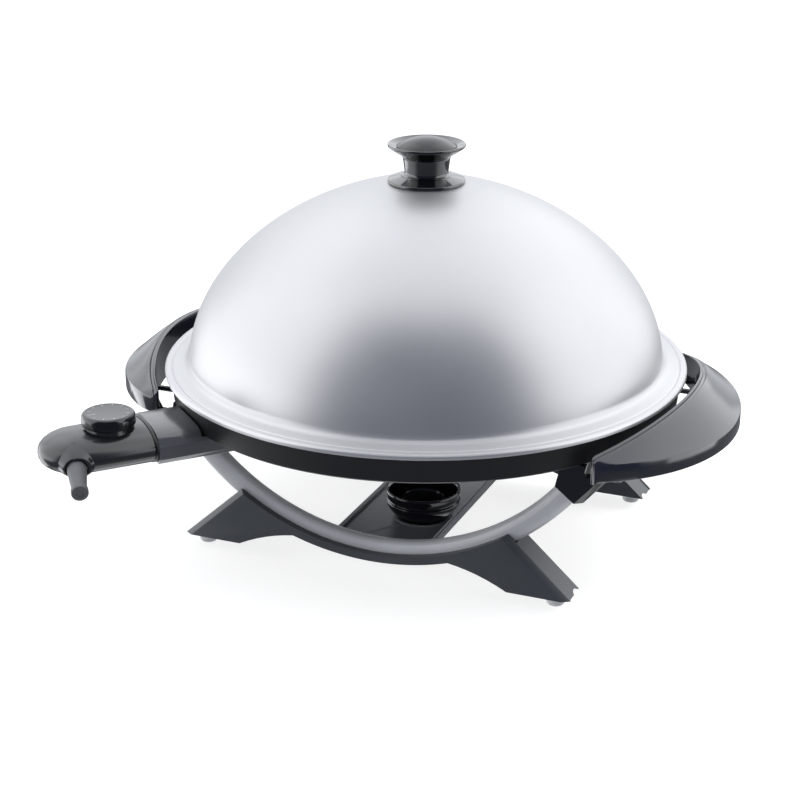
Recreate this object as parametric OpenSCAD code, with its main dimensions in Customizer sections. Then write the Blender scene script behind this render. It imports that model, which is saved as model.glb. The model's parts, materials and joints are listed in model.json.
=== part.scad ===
// Electric indoor grill: round plate on a two-arc stand, domed lid, plug-in heat control.
// Millimetres, +Z up. X runs through the two handles and -Y is the front. The modules put the
// middle of the plate at X 0, Y 0; in_frame() then moves every piece by origin_y, so that the
// origin is on the table under the middle of the whole grill with its control.

/* [Plate] */
// Outside radius of the grill plate at its lower edge
plate_r = 204; // [196:1:212]
// Height of the plate's lower edge above the table
plate_z = 121; // [118:1:128]
// Height of the plate's outer wall
plate_wall_h = 23; // [18:1:28]
// Thickness of the plate's outer wall
plate_wall_t = 3.5; // [2.5:0.5:5]
// Thickness of the cooking floor
plate_floor_t = 5; // [4:0.5:7]
// Width of the flat grease channel round the cooking floor
channel_w = 12; // [6:1:18]
// Distance between two grill ridges
ridge_pitch = 14; // [10:1:24]
// Width of a grill ridge
ridge_w = 4; // [3:0.5:6]
// Height of a grill ridge
ridge_h = 2.5; // [1.5:0.5:4]
// Radius of the drain hole
drain_r = 5.5; // [4:0.5:7]
// Radius of the shallow well round the drain hole
sump_r = 22; // [14:1:28]

/* [Lid] */
// How far the lid's rim stands out past the plate
lid_overhang = 6; // [5:0.5:9]
// Width of the flange between the dome and the rim
flange_w = 19; // [16:1:26]
// Thickness of the lid's sheet metal
lid_t = 1.5; // [1:0.1:2]
// Depth of the turned-down lip at the lid's rim
lip_drop = 2.7; // [1.5:0.1:3.5]
// Height of the dome above the plate's rim
dome_h = 147; // [110:1:170]
// Fullness of the dome's shoulder, where 2 is an ellipse
dome_fullness = 1.77; // [1.6:0.01:2.2]

/* [Lid knob] */
// Radius of the knob's base flange
knob_base_r = 30.6; // [24:0.1:36]
// Radius of the knob's top disc
knob_top_r = 30.6; // [24:0.1:36]
// Radius of the neck at its waist
knob_neck_r = 17.2; // [14:0.1:20]
// Height of the knob from base flange to rim
knob_h = 30.8; // [26:0.1:38]
// Rise of the domed cap in the knob's top
cap_rise = 7.2; // [3:0.1:9]
// Radius of the lid screw's shank
lid_screw_r = 2.4; // [2:0.1:3]

/* [Handles] */
// Gap between the plate and the inner wall of a handle, at the middle
handle_gap = 17; // [14:1:26]
// Width of a handle at its middle
handle_w = 35; // [28:1:44]
// How much smaller the radius of a handle's inner edge is than the plate's
handle_in_less = 8; // [-6:1:16]
// How far a handle runs past the middle of each tube
handle_past = 22; // [19:1:28]
// How much longer the half axis of the outer edge's ellipse is than half a handle
handle_out_more = 18.7; // [14:0.1:40]
// Width of that ellipse as a share of its length
handle_out_share = 0.915; // [0.8:0.005:1]
// Height of the raised inner edge above the plate's lower edge, at the middle
handle_crown = 29; // [22:1:34]
// Height of the outer edge above the plate's lower edge, at the middle
handle_brim = 5.5; // [4:0.5:9]
// Depth of the outer wall of a handle
handle_side_h = 13; // [10:0.5:14]
// Wall thickness of a handle
handle_t = 3; // [2:0.5:4]

/* [Stand] */
// How much smaller the radius of the curved tubes' inner side is than the plate's
arc_in_less = 14; // [4:0.5:19]
// Height of the inner side of a tube at its lowest point
arc_low_z = 29; // [27:0.5:33]
// Depth of the tube's section along its radius
tube_d = 18; // [14:0.5:18.5]
// Width of the tube's section, front to back
tube_w = 14; // [10:0.5:16]
// Wall thickness of the tube
tube_t = 1.5; // [1:0.1:2.5]
// How far each tube's middle stands in from the plate's front or rear edge
arc_set = 100; // [96:1:102]
// Clearance round the tube in its seats
tube_gap = 0.25; // [0.15:0.05:0.5]
// Depth of a leg frame, front to back, with its cover
leg_depth = 28; // [24:1:32]
// Thickness of the cover plate on a leg frame
cover_t = 5.5; // [3:0.5:7]
// How far the tip of a leg stands in from the plate's side edge
leg_tip_set = 40.5; // [34:0.5:48]
// Distance from a leg's tip in to where its upper side leaves the tube
leg_top_len = 51.5; // [44:0.5:60]
// Length of a leg's flat bottom
leg_sole_len = 50; // [44:0.5:58]
// Length of the arched underside next to it
leg_arch_len = 48; // [40:0.5:56]
// Height of a leg's flat bottom above the table
foot_h = 8.6; // [6:0.2:10]
// Radius of a rubber foot
foot_r = 7; // [5:0.5:8]
// How far a foot's middle stands in from the leg's tip
foot_set = 14.8; // [12:0.1:22]

/* [Cup tray] */
// Width of the tray between the leg frames
tray_w = 80; // [72:1:96]
// Height of the tray's top face above the table
tray_z = 22.4; // [21.8:0.2:23.4]
// Thickness of the tray
tray_t = 3; // [2:0.5:4]
// Height of the rail along each side of the tray
rail_h = 2; // [1:0.5:3]

/* [Drip cup] */
// Distance of the drip cup from the middle, along X
cup_x = 13.5; // [0:0.5:14]
// Distance of the drip cup from the middle, along Y
cup_y = -37.5; // [-44:0.5:-20]
// Radius of the cup at its rim
cup_r = 30.5; // [27:0.5:34]
// Radius of the cup at its foot
cup_foot_r = 21; // [17:0.5:22]
// Height of the cup
cup_h = 25; // [20:1:34]
// Wall thickness of the cup
cup_t = 2; // [1.5:0.5:3]

/* [Heat control] */
// Direction of the heat control, counted from the right handle
unit_angle = 228; // [226:0.5:236]
// Distance of the control's centre below the plate's lower edge
unit_drop = 5.4; // [4:0.2:7]
// Width of the control's housing
unit_w = 62; // [56:1:64]
// Height of the control's housing
unit_h = 29; // [28:0.5:32]
// Length of the straight part of the housing
unit_straight = 50; // [44:1:60]
// Length of the guard between the plate and the housing
guard_len = 34; // [30:1:40]
// Wall thickness of the housing and the guard
unit_t = 2.5; // [2:0.1:3.5]
// Squareness of the housing's section, where 2 is an ellipse
unit_square = 2.3; // [2.2:0.1:2.8]
// Radius of the heat dial
dial_r = 20.5; // [17:0.5:23]
// Height of the heat dial
dial_h = 9.4; // [8:0.2:14]
// Distance from the housing's mouth to the dial's axis
dial_set = 25.9; // [23:0.1:30]
// Radius of the strain relief at the housing
relief_r = 7.4; // [6:0.1:8]
// Length of the strain relief outside the housing
relief_len = 38; // [25:1:50]

/* [Heating] */
// Radius of the heating element's ring
element_ring_r = 120; // [100:1:135]
// Radius of the heating element's tube
element_r = 3.4; // [3:0.1:3.8]
// Half distance between the two terminal pins
pin_half = 12; // [10.5:0.5:14]
// Radius of a terminal pin
pin_r = 2; // [1.6:0.1:2.4]
// Radius of the temperature probe
probe_r = 3; // [2.5:0.1:3.3]
// Length of the probe past the housing
probe_len = 88; // [70:1:100]

/* [Hidden] */

seam = 0.3;          // gap between pieces that rest on or beside each other
bore_gap = 0.3;      // radial clearance of a pin in its hole
eps = 0.01;
head_gap = 0.1;      // gap under a screw's head

// Plate and lid
rim_z = plate_z + plate_wall_h;
floor_z = plate_z + plate_floor_t;
bead_r = plate_r + 3.2;
floor_r = plate_r - plate_wall_t - channel_w - 4;
lid_r = plate_r + lid_overhang;
seat_z = rim_z + seam;
dome_r = lid_r - flange_w;
dome_z0 = seat_z - lip_drop;
dome_rise = dome_h + lip_drop + lid_t;
lip_in = lid_t;
knob_z = dome_z(knob_base_r) + seam;
knob_bore_r = 9;                    // bore under the cap, for the nut and the cap's plug
knob_nut_r = 5.3;
cap_r = knob_top_r - 7.3;
cap_set = 2.2;                      // how far the cap's edge lies below the knob's edge
cap_edge = 1.1;                     // height of the cap's own edge
cap_z = knob_h - cap_set - cap_edge;
drain_pipe_r = drain_r + 3;

// Stand
arc_in_r = plate_r - arc_in_less;
arc_y = plate_r - arc_set;
leg_tip_x = plate_r - leg_tip_set;
leg_top_x = leg_tip_x - leg_top_len;
leg_heel_x = leg_tip_x - leg_sole_len;
leg_arch_x = leg_heel_x - leg_arch_len;
foot_x = leg_tip_x - foot_set;
arc_cz = arc_low_z + arc_in_r;
arc_r = arc_in_r + tube_d / 2;
frame_top_r = arc_in_r + 8.5;
belly_cz = arc_cz + 10.5;
belly_r = belly_cz - 14;
arc_end = 55.5;                       // half angle that each tube spans
bracket_screw_angle = arc_end - 1.8;
mouth_angle = 52.6;                 // where a tube enters its bracket
bracket_w = tube_w + 8;
web_w = 8;                          // depth of a bracket's front web, which is also its arm
slope_h = 5;                        // height and depth of the slope along the web's lower edge
slope_d = 4;
bracket_out_x = (arc_r + tube_d / 2) * sin(arc_end) + 2.6;
pad_z = plate_z - seam;
leg_back_y = arc_y - leg_depth / 2;
leg_front_y = arc_y + leg_depth / 2;
leg_split_y = leg_front_y - cover_t;
scallop_r = 8;
scallop_h = 1.9;                    // depth of the scallop under a leg's end
cover_slope = 4;                    // width of the slope along the ends of a cover
foot_pin_r = 3;
tray_screw_x = 20;
tray_tab_x = 30;
tray_tab_y = arc_y - tube_w / 2 - 0.8;
tray_screw_y = (leg_back_y + tray_tab_y) / 2;
leg_screw_x = leg_tip_x - 36;
leg_screw_z = foot_h + 20;
lug_y = arc_y - 26;                 // where the handles' lugs carry the plate
lug_w = 3;
lug_t = 3.5;
lug_z = pad_z - 3.2;                // top of the lugs, which step up under the plate
lug_x = sqrt(plate_r * plate_r - lug_y * lug_y) - 6;

// Handles
handle_in_r = plate_r - handle_in_less;
handle_half = arc_y + handle_past;
handle_out_b = handle_half + handle_out_more;
handle_out_a = handle_out_share * handle_out_b;
handle_cx = plate_r + handle_gap - handle_in_r;
handle_ox = plate_r + handle_gap + handle_w - handle_out_a;
boss_y = arc_y + bracket_w / 2 - web_w / 2;
boss_x = handle_in_x(boss_y) + 8.3;
boss_r = 4.5;
arm_z = handle_low_z(boss_y) + 3.9;  // top of a bracket's arm, inside the handle
arm_t = 5;
arm_neck_z = arm_z - 6.5;            // top of the web between the plate and the handle
end_round = 6;                      // rounding of a handle's two ends
handle_steps = 44;                  // stretches that a handle's skin is lofted in
handle_fall = 44;                   // fall of the inner edge at one inner radius from the middle

// Control unit, along its own axis u
unit_z = plate_z - unit_drop;
guard_u0 = plate_r + 1.8;
guard_u1 = plate_r + guard_len;
tongue_u = floor_r - 8;             // inner end of the guard, under the plate
guard_lug_y = unit_w / 2 - 8;
guard_lug_h = 12;
collar_t = 2.6;
body_u0 = guard_u1 + seam + collar_t + 0.2;
body_u1 = body_u0 + unit_straight;
dial_u = body_u0 + dial_set;
split_z = -unit_h / 5;              // parting line of the two shells, from the middle height
nose_len = 18;
nose_w = unit_w - 2 * unit_t - 7;
nose_h = unit_h - 2 * unit_t - 6;
pin_z = plate_z - element_r - 0.2;
element_bend = 10;                  // radius of the element's two bends
sleeve_grow = 1;                    // how far its sleeves stand out from the tube
dial_z = unit_z + unit_h / 2 + 2.2;
relief_turn = 77;                   // direction of the strain relief, from the unit's axis
relief_dip = 9;                     // how far it points down
relief_u = body_u1 + 9.8;
relief_y = unit_w / 2 - 5.6;
relief_z = unit_z - 2.8;
relief_neck_r = 4.6;                // part of the strain relief inside the housing
shell_screw_u = body_u0 + 16;
shell_screw_y = unit_w / 2 - 15;
shell_screw_z = -unit_h / 2 + 3.6;  // seat of the screw heads, from the middle height
chassis_z = unit_z - unit_h / 2 + unit_t + 1;
relief_end_r = relief_r - 1.6;

// Front and rear ends of the whole grill: the strain relief's tip and the lid's rim
front_end = -relief_u * sin(unit_angle) - relief_y * cos(unit_angle)
    - relief_len * cos(relief_dip) * sin(unit_angle + relief_turn)
    + relief_end_r * sqrt(1 - pow(cos(relief_dip) * sin(unit_angle + relief_turn), 2));
origin_y = (front_end - lid_r) / 2;

// ---------------------------------------------------------------- shared shapes

// Height of the dome's outer face over radius r
function dome_z(r) = dome_z0 + dome_rise * sqrt(1 - pow(r / dome_r, dome_fullness));

// Points of a dome of base radius br and height h, from height share h0 up to the top
function dome_points(br, h, h0, n) = [for (i = [0 : n])
    let (a = (i / n) * (90 - asin(h0)) + asin(h0), s = min(1, sin(a)))
    [br * pow(max(0, 1 - s * s), 1 / dome_fullness), dome_z0 + h * s]];

// Section with rounded sides: half width w, half height h, squareness e
function squarish(w, h, e, n) = [for (i = [0 : n - 1])
    let (a = 360 * i / n, c = cos(a), s = sin(a))
    [w * sign(c) * pow(abs(c), 2 / e), h * sign(s) * pow(abs(s), 2 / e)]];

// Right half of the same section, for a revolved end
function half_squarish(w, h, e, n) = concat([[0, -h]], [for (i = [1 : n - 1])
    let (a = -90 + 180 * i / n)
    [w * pow(cos(a), 2 / e), h * sign(sin(a)) * pow(abs(sin(a)), 2 / e)]], [[0, h]]);

function bezier(a, b, c, t) = (1 - t) * (1 - t) * a + 2 * t * (1 - t) * b + t * t * c;

module in_frame() {
    translate([0, origin_y, 0]) children();
}

module on_unit() {
    rotate([0, 0, unit_angle]) children();
}

module both_sides() {
    children();
    mirror([1, 0, 0]) children();
}

// Upright plate cut from a profile in X and Z, from y0 towards the front
module upright(y0, depth) {
    translate([0, y0, 0]) rotate([90, 0, 0]) linear_extrude(depth) children();
}

// Shaft along +Y
module rod_y(r, len) {
    rotate([-90, 0, 0]) cylinder(r = r, h = len, $fn = 32);
}

// Shaft along +X
module rod_x(r, len) {
    rotate([0, 90, 0]) cylinder(r = r, h = len, $fn = 32);
}

module screw_down(head_r, head_h, shank_r, len) {
    cylinder(r = head_r, h = head_h, $fn = 32);
    translate([0, 0, -len]) cylinder(r = shank_r, h = len + eps, $fn = 24);
}

// ---------------------------------------------------------------- stand

module arc_shape(grow, half_angle) {
    translate([0, 0, arc_cz]) rotate([90, 0, 0]) rotate([0, 0, -90 - half_angle])
        rotate_extrude(angle = 2 * half_angle, $fn = 96)
            translate([arc_r, 0])
                polygon(squarish(tube_d / 2 + grow, tube_w / 2 + grow, 2.4, 24));
}

module bracket_screw_place() {
    both_sides()
        translate([arc_r * sin(bracket_screw_angle), 0, arc_cz - arc_r * cos(bracket_screw_angle)])
            children();
}

module arc_tube() {
    color("lightsteelblue") translate([0, -arc_y, 0]) difference() {
        arc_shape(0, arc_end);
        arc_shape(-tube_t, arc_end + 1);
        bracket_screw_place() translate([0, -eps, 0]) rod_y(1.8, tube_w);
    }
}

// Outline of a leg frame. inset draws its outer ends in.
module frame_outline(inset) {
    top_r = frame_top_r + inset;
    a_top = asin(leg_top_x / top_r);
    a_low = asin(leg_arch_x / belly_r);
    steps = 22;
    top = [for (i = [0 : steps]) let (a = -a_top + 2 * a_top * i / steps)
        [top_r * sin(a), arc_cz - top_r * cos(a)]];
    belly_end = [leg_arch_x, belly_cz - belly_r * cos(a_low)];
    heel = [leg_heel_x, foot_h];
    bend = [(leg_arch_x + 2 * leg_heel_x) / 3 - 7, belly_end[1] - 3.5];
    side = [for (i = [0 : 6]) bezier(heel, bend, belly_end, i / 6)];
    belly = [for (i = [1 : steps - 1]) let (a = a_low - 2 * a_low * i / steps)
        [belly_r * sin(a), belly_cz - belly_r * cos(a)]];
    mirrored = [for (i = [6 : -1 : 0]) [-side[i][0], side[i][1]]];
    polygon(concat(top, [[leg_tip_x - inset, foot_h]], side, belly, mirrored,
        [[-leg_tip_x + inset, foot_h]]));
}

module leg_frame() {
    color("darkslategray") difference() {
        upright(-leg_back_y, leg_depth - cover_t - 0.2) frame_outline(0.8);
        translate([0, -arc_y, 0]) arc_shape(tube_gap, arc_end);
        // opening that lets the tube in from the cover's side
        translate([0, -arc_y - tube_w / 2, 0]) upright(tube_w / 2, leg_depth / 2 + tube_w) difference() {
            circle_band(arc_r - tube_d / 2 - tube_gap, arc_r + tube_d / 2 + tube_gap);
        }
        // ledge for the tray's tab
        translate([-tray_tab_x - seam, -tray_tab_y - 0.4, tray_z - tray_t - seam])
            cube([2 * (tray_tab_x + seam), leg_depth, 20]);
        both_sides() {
            translate([foot_x, -arc_y, foot_h - eps]) cylinder(r = foot_pin_r + 0.2, h = 6, $fn = 32);
            translate([leg_screw_x, -leg_split_y - 1, leg_screw_z]) rod_y(2, leg_depth + 2);
            translate([leg_screw_x, -leg_back_y - 3, leg_screw_z]) rod_y(4.2, 4);
            // shallow scallop under the end, behind the cover
            translate([leg_tip_x - 7, -arc_y + leg_depth / 4, foot_h + scallop_h - scallop_r]) rod_x(scallop_r, 10);
        }
        for (s = [-1, 1]) translate([s * tray_screw_x, -tray_screw_y, tray_z - tray_t - 8])
            cylinder(r = 1.3, h = 9, $fn = 24);
    }
}

// Ring-shaped stretch of the tube's path, in the upright profile plane
module circle_band(r0, r1) {
    steps = 28;
    span = 50;
    polygon(concat(
        [for (i = [0 : steps]) let (a = -span + 2 * span * i / steps)
            [r0 * sin(a), arc_cz - r0 * cos(a)]],
        [for (i = [steps : -1 : 0]) let (a = -span + 2 * span * i / steps)
            [r1 * sin(a), arc_cz - r1 * cos(a)]]));
}

// Slope along the front edge of a cover's end, from the tip up to the tube
module end_slope() {
    run = [leg_top_x - leg_tip_x, arc_cz - sqrt(pow(frame_top_r, 2) - pow(leg_top_x, 2)) - foot_h];
    side = cover_slope * sqrt(2);
    translate([leg_tip_x, -leg_front_y, foot_h]) rotate([0, -atan2(run[1], run[0]), 0])
        rotate([45, 0, 0]) translate([-10, -side / 2, -side / 2]) cube([norm(run) + 20, side, side]);
}

module leg_cover() {
    color("slategray") difference() {
        upright(-leg_split_y, cover_t) frame_outline(0);
        both_sides() end_slope();
        both_sides() translate([leg_screw_x, -leg_front_y + 2, leg_screw_z]) rod_y(1.6, cover_t);
    }
}

module leg_cover_screw_pair() {
    both_sides() translate([leg_screw_x, -leg_back_y - 3 + seam, leg_screw_z]) {
        rod_y(3.6, 2);
        translate([0, -leg_depth + cover_t + 1, 0]) rod_y(1.5, leg_depth - cover_t - 1 + eps);
    }
}

module leg_cover_screws() {
    color("silver") {
        leg_cover_screw_pair();
        mirror([0, 1, 0]) leg_cover_screw_pair();
    }
}

module cup_tray() {
    half = tray_w / 2;
    low = tray_z - tray_t - 3.4;
    color("dimgray") difference() {
        union() {
            upright(leg_back_y - 0.2, 2 * (leg_back_y - 0.2)) polygon([
                [-half, low], [-half, tray_z + rail_h], [-half + 3.2, tray_z + rail_h],
                [-half + 3.2, tray_z], [half - 3.2, tray_z], [half - 3.2, tray_z + rail_h],
                [half - 1.2, tray_z + rail_h], [half - 1.2, tray_z + rail_h - 1.6],
                [half, tray_z + rail_h - 1.6], [half, tray_z - 1.2], [half - 0.7, tray_z - 1.6],
                [half, tray_z - 2], [half, low], [half - 2.6, low], [half - 2.6, tray_z - tray_t],
                [-half + 2.6, tray_z - tray_t], [-half + 2.6, low]]);
            translate([-tray_tab_x, -tray_tab_y, tray_z - tray_t])
                cube([2 * tray_tab_x, 2 * tray_tab_y, tray_t]);
            translate([cup_x, cup_y, tray_z - eps]) cylinder(r = cup_foot_r + 3.8, h = 1, $fn = 64);
        }
        translate([cup_x, cup_y, tray_z - 1]) cylinder(r = cup_foot_r + 2, h = 5, $fn = 64);
        for (sx = [-1, 1], sy = [-1, 1])
            translate([sx * tray_screw_x, sy * tray_screw_y, tray_z - tray_t - 1])
                cylinder(r = 1.8, h = tray_t + 2, $fn = 24);
    }
}

module tray_screws() {
    color("silver") for (sx = [-1, 1], sy = [-1, 1])
        translate([sx * tray_screw_x, sy * tray_screw_y, tray_z + head_gap])
            screw_down(2.8, 1.5, 1.2, tray_t + 6);
}

module rubber_foot() {
    color("gainsboro") {
        cylinder(r1 = foot_r - 1, r2 = foot_r, h = 1.2, $fn = 48);
        translate([0, 0, 1.2 - eps]) cylinder(r = foot_r, h = foot_h - 1.2 - seam + eps, $fn = 48);
        translate([0, 0, foot_h - seam - eps]) cylinder(r = foot_pin_r, h = 5, $fn = 32);
    }
}

// Mouth of a bracket, where the tube comes in: inner and outer corner
function mouth_point(side) = let (r = arc_r + side * (tube_d / 2 + 0.6))
    [r * sin(mouth_angle - 1), arc_cz - r * cos(mouth_angle - 1)];

// Lower edge of a bracket: from the mouth out to the arm
function bracket_low() = [mouth_point(1) + [6.2, 0.3], [boss_x - 4.6, arm_z - arm_t]];

// Sleeve round the tube's end with the pad under the plate's rim
module bracket_sleeve() {
    top_x = arc_r * sin(mouth_angle) - 5.2;
    low = bracket_low();
    share = (bracket_out_x - low[0][0]) / (low[1][0] - low[0][0]);
    polygon([[top_x, pad_z], mouth_point(-1), mouth_point(1), low[0],
        low[0] + share * (low[1] - low[0]), [bracket_out_x - 4, pad_z]]);
}

// Front web that runs out under the handle as an arm
module bracket_web() {
    low = bracket_low();
    tip_x = boss_x + boss_r + 0.2;
    polygon([mouth_point(1), low[0], low[1], [tip_x, arm_z - arm_t], [tip_x, arm_z],
        [boss_x - 7.3, arm_z], [boss_x - 10.8, arm_neck_z], [bracket_out_x - 4, arm_neck_z]]);
}

// Slope cut along the front of the web's lower edge
module web_slope() {
    low = bracket_low();
    run = low[1] - low[0];
    translate([low[0][0], -arc_y - bracket_w / 2, low[0][1]]) rotate([0, -atan2(run[1], run[0]), 0])
        translate([-slope_h, 0, 0]) rotate([90, 0, 90]) linear_extrude(norm(run) + slope_h)
            polygon([[-1, slope_h * (1 + 1 / slope_d)], [-1, -1], [slope_d * (1 + 1 / slope_h), -1]]);
}

// Groove along the web's lower edge, shift above it
module web_groove(shift) {
    low = bracket_low();
    polygon([low[0] + [1, shift], low[1] + [-2, shift], low[1] + [-2, shift + 1], low[0] + [1, shift + 1]]);
}

// Bracket that holds the end of a tube, carries the plate and takes the handle's screw
module bracket() {
    front_y = -arc_y - bracket_w / 2;
    color("black") difference() {
        union() {
            upright(-arc_y + bracket_w / 2, bracket_w) bracket_sleeve();
            upright(front_y + web_w, web_w) bracket_web();
        }
        translate([0, -arc_y, 0]) arc_shape(tube_gap, arc_end + 0.3);
        bracket_screw_place() translate([0, -arc_y - eps, 0]) rod_y(1.8, bracket_w);
        translate([boss_x, -boss_y, arm_z - 10]) cylinder(r = 2.1, h = 20, $fn = 24);
        web_slope();
        for (shift = [1.6, 3.8]) let (depth = (slope_h - shift) * slope_d / slope_h + 0.8)
            upright(front_y + depth, depth + 1) web_groove(shift);
    }
}

module bracket_screws() {
    color("silver") for (s = [0, 1]) mirror([0, s, 0]) bracket_screw_place()
        translate([0, -arc_y, 0]) {
            translate([0, 3, 0]) rod_y(1.4, bracket_w / 2 - 2);
            translate([0, bracket_w / 2 + 0.1, 0]) rod_y(3.2, 2);
        }
}

// ---------------------------------------------------------------- handles

// Inset that rounds a handle's ends
function end_inset(y) = let (d = end_round - (handle_half - abs(y)))
    d <= 0 ? 0 : end_round - sqrt(max(0, end_round * end_round - d * d));
function handle_in_x(y) = handle_cx + sqrt(handle_in_r * handle_in_r - y * y);
function handle_out_x(y) = handle_ox
    + handle_out_a * sqrt(1 - (y / handle_out_b) * (y / handle_out_b));
function handle_in_z(y) = plate_z + handle_crown - handle_fall * (y / handle_in_r) * (y / handle_in_r);
function handle_out_z(y) = plate_z + handle_brim + 4 * (y / handle_out_b) * (y / handle_out_b);
function handle_low_z(y) = handle_out_z(y) - handle_side_h
    - 2 * (y / handle_out_b) * (y / handle_out_b);
function handle_skirt_z(y) = plate_z - 9;

// Closed ring of points round a handle's section at depth y
function handle_ring(y) = let (
    e = end_inset(y), xi = handle_in_x(y) + e, xo = handle_out_x(y) - e,
    zi = handle_in_z(y) - e / 2, zo = handle_out_z(y) - e / 2, zl = handle_low_z(y),
    w = xo - xi, k = min(1, w / 14), drop = zi - zo,
    face = function(s) [xi + 5.5 * k + s * (w - 7 * k), zi - 0.9 - (drop - 0.9) * (s - 0.03 * sin(180 * s))])
    [[xi, handle_skirt_z(y)], [xi, zi - 0.6], [xi + 0.6 * k, zi], [xi + 1.9 * k, zi],
     [xi + 2.4 * k, zi - 2 * k], [xi + 4.2 * k, zi - 0.9 - 1.5 * k], face(0),
     face(0.25), face(0.5), face(0.75), [xo - 1.5 * k, zo], [xo - 0.4 * k, zo - 0.5], [xo, zo - 1.6],
     [xo, zl + 0.8], [xo - 0.8 * k, zl]];

// Ring of the hollow inside the handle, open below
function handle_hollow(y) = let (
    xi = handle_in_x(y) + handle_t, xo = handle_out_x(y) - handle_t,
    zi = handle_in_z(y) - handle_t - 2.6, zo = handle_out_z(y) - handle_t,
    low = plate_z - 30, m = 0.5)
    [[xi, low], [xi, zi], [xi + 3, zi],
     [xi + (xo - xi) * m, zi + (zo - zi) * m], [xo, zo], [xo, low]];

// Skin through a list of rings that have the same number of points
module loft(rings) {
    n = len(rings[0]);
    m = len(rings);
    points = [for (r = rings, p = r) p];
    sides = [for (i = [0 : m - 2], j = [0 : n - 1], k = [0, 1])
        let (a = i * n + j, b = i * n + (j + 1) % n)
        k == 0 ? [a, a + n, b] : [b, a + n, b + n]];
    polyhedron(points = points, faces = concat(sides,
        [[for (j = [0 : n - 1]) j]], [[for (j = [n - 1 : -1 : 0]) (m - 1) * n + j]]));
}

function stations(half, n) = [for (i = [0 : n]) half * sin(-90 + 180 * i / n)];

module handle() {
    half_in = handle_half - handle_t;
    ys = stations(handle_half, handle_steps);
    yh = stations(half_in, handle_steps);
    boss_z = arm_z + seam;
    wall_gap = 0.5;
    color([0.16, 0.16, 0.18]) {
        difference() {
            loft([for (y = ys) [for (p = handle_ring(y)) [p[0], y, p[1]]]]);
            difference() {
                loft([for (y = yh) [for (p = handle_hollow(y)) [p[0], y, p[1]]]]);
                for (y = [-60, 0, 60]) translate([0, y - 1, plate_z - 40]) cube([2 * plate_r, 2, 2 * plate_z]);
                for (s = [-1, 1]) translate([boss_x, s * boss_y, boss_z])
                    cylinder(r = boss_r, h = 60, $fn = 32);
            }
            for (s = [-1, 1]) {
                // notch that lets the bracket's arm in under the handle
                translate([boss_x - 40, s * boss_y - web_w / 2 - wall_gap, 0])
                    cube([40 + boss_r + 2 * wall_gap, web_w + 2 * wall_gap, boss_z]);
                translate([boss_x, s * boss_y, 0]) cylinder(r = 1.5, h = boss_z + 6, $fn = 24);
            }
        }
        for (s = [-1, 1]) translate([lug_x, s * lug_y - lug_w / 2, lug_z - lug_t]) {
            cube([handle_in_x(lug_y) + 1.5 - lug_x, lug_w, lug_t]);
            cube([4, lug_w, pad_z - lug_z + lug_t]);
        }
    }
}

module handle_screws() {
    color("silver") for (sx = [0, 1], sy = [-1, 1]) mirror([sx, 0, 0])
        translate([boss_x, sy * boss_y, arm_z - arm_t - 0.1]) mirror([0, 0, 1]) screw_down(3.4, 2, 1.4, 10);
}

// ---------------------------------------------------------------- drip cup

module drip_cup() {
    z0 = tray_z - 1 + seam;
    // outer face bulges between the foot and the rim
    outer = [[0, 0], [cup_foot_r - 1.5, 0], [cup_foot_r, 1], [cup_r - 2.5, cup_h * 0.36],
        [cup_r - 0.6, cup_h * 0.52], [cup_r - 0.4, cup_h * 0.62], [cup_r - 1.6, cup_h * 0.68],
        [cup_r - 1.4, cup_h * 0.8], [cup_r, cup_h - 1.4], [cup_r - 0.5, cup_h]];
    inner = [[cup_r - 1.5, cup_h], [cup_r - cup_t - 1.2, cup_h - 2],
        [cup_r - cup_t - 2, cup_h * 0.6], [cup_r - cup_t - 4, cup_h * 0.36],
        [cup_foot_r - cup_t, 3.2], [cup_foot_r - cup_t - 2, cup_t], [0, cup_t]];
    color([0.08, 0.08, 0.09]) translate([cup_x, cup_y, z0])
        rotate_extrude($fn = 96) polygon(concat(outer, inner));
}

// ---------------------------------------------------------------- plate and heating

module grill_plate() {
    wall_in = plate_r - plate_wall_t;
    h = plate_wall_h;
    color([0.1, 0.1, 0.11]) difference() {
        union() {
            rotate_extrude($fn = 128) translate([0, plate_z]) polygon([
                [0, 0], [plate_r - 1.2, 0], [plate_r, 1.2], [plate_r + 1.2, h - 4.5],
                [bead_r, h - 3], [bead_r, h - 0.8], [bead_r - 0.8, h], [wall_in + 1, h],
                [wall_in, h - 1], [wall_in - 2.5, plate_floor_t - 1.2],
                [wall_in - 4, plate_floor_t - 2.2], [wall_in - 4 - channel_w, plate_floor_t - 2.2],
                [floor_r - 3, plate_floor_t], [0, plate_floor_t]]);
            grill_ridges();
            // wall rings that hold the heating element
            for (r = [element_ring_r - element_r - 3, element_ring_r + element_r + 0.6])
                translate([0, 0, plate_z - element_r * 1.4]) ring_wall(r, 2.4, element_r * 1.4 + eps);
            on_unit() translate([element_ring_r + 24, -7, plate_z - 11])
                cube([floor_r - 12 - element_ring_r - 24, 14, 11 + eps]);
            translate([cup_x, cup_y, plate_z - 8]) cylinder(r = drain_pipe_r, h = 8 + eps, $fn = 48);
        }
        translate([cup_x, cup_y, floor_z - 2]) cylinder(r1 = drain_r, r2 = sump_r, h = 2 + eps, $fn = 64);
        translate([cup_x, cup_y, plate_z - 9]) cylinder(r = drain_r, h = 20, $fn = 48);
        on_unit() {
            translate([element_ring_r + 20, 0, unit_z]) rod_x(probe_r + 0.4, 100);
            // way for the element's two legs through the outer ring, let into the plate over its sleeves
            translate([element_ring_r - 8, -pin_half - element_bend - 6, plate_z - 8])
                cube([element_bend + 14, 2 * (pin_half + element_bend + 6), 8 + sleeve_grow + seam]);
        }
    }
}

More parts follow.
